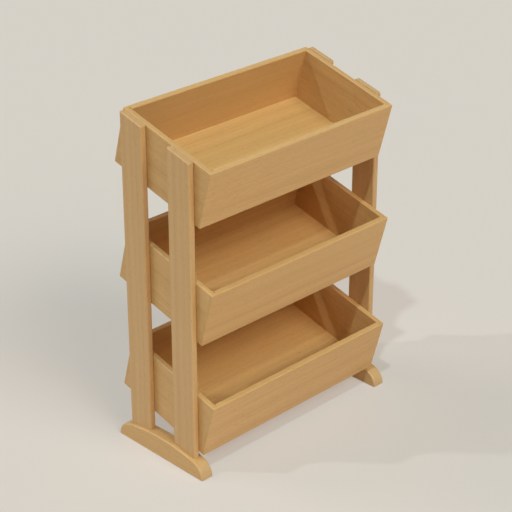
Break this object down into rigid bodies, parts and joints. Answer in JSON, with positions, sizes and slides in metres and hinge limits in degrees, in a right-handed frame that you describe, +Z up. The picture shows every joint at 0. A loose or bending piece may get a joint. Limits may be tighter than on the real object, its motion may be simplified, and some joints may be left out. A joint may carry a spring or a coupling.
{
  "type": "shelving rack with tilted bins",
  "caption": "Free-standing wooden shelving rack: open bins tilted forward, held one above another between upright posts that stand in arched feet.",
  "frame": {"origin": "on the ground, midway between the feet and midway front to back", "axes": "+Z up, +X along the bins to the right of someone facing the open side, +Y to the back; the bins slope down towards -Y"},
  "size_m": [0.6526, 0.327, 0.8718],
  "materials": {
    "bin_wood": "satin, clear-coated light honey hardwood",
    "floor_wood": "satin, clear-coated light honey plywood face",
    "post_wood": "satin, clear-coated light honey hardwood",
    "foot_wood": "satin, clear-coated light honey hardwood",
    "dowel_wood": "bare turned beech"
  },
  "bodies": {
    "root": {"left_foot": "foot_wood", "right_foot": "foot_wood", "left_front_post": "post_wood", "left_rear_post": "post_wood", "right_front_post": "post_wood", "right_rear_post": "post_wood", "lower_bin_front": "bin_wood", "lower_bin_back": "bin_wood", "lower_bin_left_end": "bin_wood", "lower_bin_right_end": "bin_wood", "lower_bin_floor": "floor_wood", "middle_bin_front": "bin_wood", "middle_bin_back": "bin_wood", "middle_bin_left_end": "bin_wood", "middle_bin_right_end": "bin_wood", "middle_bin_floor": "floor_wood", "upper_bin_front": "bin_wood", "upper_bin_back": "bin_wood", "upper_bin_left_end": "bin_wood", "upper_bin_right_end": "bin_wood", "upper_bin_floor": "floor_wood", "lower_bin_left_front_dowel_low": "dowel_wood", "lower_bin_left_front_dowel_high": "dowel_wood", "lower_bin_left_rear_dowel_low": "dowel_wood", "lower_bin_left_rear_dowel_high": "dowel_wood", "lower_bin_right_front_dowel_low": "dowel_wood", "lower_bin_right_front_dowel_high": "dowel_wood", "lower_bin_right_rear_dowel_low": "dowel_wood", "lower_bin_right_rear_dowel_high": "dowel_wood", "middle_bin_left_front_dowel_low": "dowel_wood", "middle_bin_left_front_dowel_high": "dowel_wood", "middle_bin_left_rear_dowel_low": "dowel_wood", "middle_bin_left_rear_dowel_high": "dowel_wood", "middle_bin_right_front_dowel_low": "dowel_wood", "middle_bin_right_front_dowel_high": "dowel_wood", "middle_bin_right_rear_dowel_low": "dowel_wood", "middle_bin_right_rear_dowel_high": "dowel_wood", "upper_bin_left_front_dowel_low": "dowel_wood", "upper_bin_left_front_dowel_high": "dowel_wood", "upper_bin_left_rear_dowel_low": "dowel_wood", "upper_bin_left_rear_dowel_high": "dowel_wood", "upper_bin_right_front_dowel_low": "dowel_wood", "upper_bin_right_front_dowel_high": "dowel_wood", "upper_bin_right_rear_dowel_low": "dowel_wood", "upper_bin_right_rear_dowel_high": "dowel_wood"}
  },
  "joints": []
}
